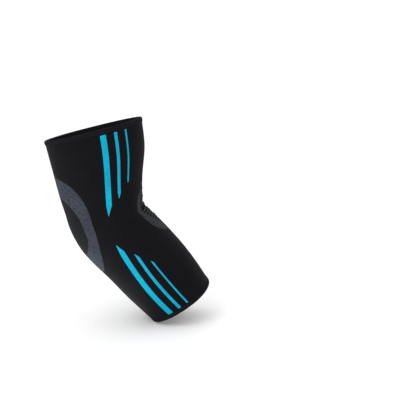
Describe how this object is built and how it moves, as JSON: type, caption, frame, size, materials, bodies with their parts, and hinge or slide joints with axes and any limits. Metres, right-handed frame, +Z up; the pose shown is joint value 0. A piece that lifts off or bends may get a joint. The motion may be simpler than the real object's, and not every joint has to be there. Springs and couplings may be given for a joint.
{
  "type": "elbow brace",
  "caption": "Pull-on knitted compression elbow sleeve in its worn, bent form, open at both ends, with hems, a ring zone over the elbow and a ribbed crease panel.",
  "frame": {"origin": "centre of the elbow, inside the hollow, where the sleeve sits on the arm", "axes": "+Z up towards the upper-arm mouth, +X to the crease side, -X to the elbow's point, -Y and +Y the two sides"},
  "size_m": [0.177, 0.0908, 0.2315],
  "materials": {
    "black_knit": "matte fine jersey knit",
    "hem_knit": "matte ribbed knit",
    "ring_knit": "matte blue-grey knit",
    "cap_knit": "matte close knit",
    "panel_knit": "matte grey knit",
    "bar_knit": "matte knit",
    "stripe_knit": "matte cyan knit"
  },
  "bodies": {
    "root": {"sleeve_body": "black_knit", "upper_hem": "hem_knit", "lower_hem": "hem_knit", "elbow_ring": "ring_knit", "elbow_cap": "cap_knit", "crease_panel": "panel_knit", "crease_bar_01": "bar_knit", "crease_bar_02": "bar_knit", "crease_bar_03": "bar_knit", "crease_bar_04": "bar_knit", "crease_bar_05": "bar_knit", "crease_bar_06": "bar_knit", "crease_bar_07": "bar_knit", "crease_bar_08": "bar_knit", "crease_bar_09": "bar_knit", "crease_bar_10": "bar_knit", "crease_bar_11": "bar_knit", "crease_bar_12": "bar_knit", "crease_bar_13": "bar_knit", "near_upper_stripe_1": "stripe_knit", "near_upper_stripe_2": "stripe_knit", "near_upper_stripe_3": "stripe_knit", "near_lower_stripe_1": "stripe_knit", "near_lower_stripe_2": "stripe_knit", "near_lower_stripe_3": "stripe_knit", "far_upper_stripe_1": "stripe_knit", "far_upper_stripe_2": "stripe_knit", "far_upper_stripe_3": "stripe_knit", "far_lower_stripe_1": "stripe_knit", "far_lower_stripe_2": "stripe_knit", "far_lower_stripe_3": "stripe_knit"}
  },
  "joints": []
}
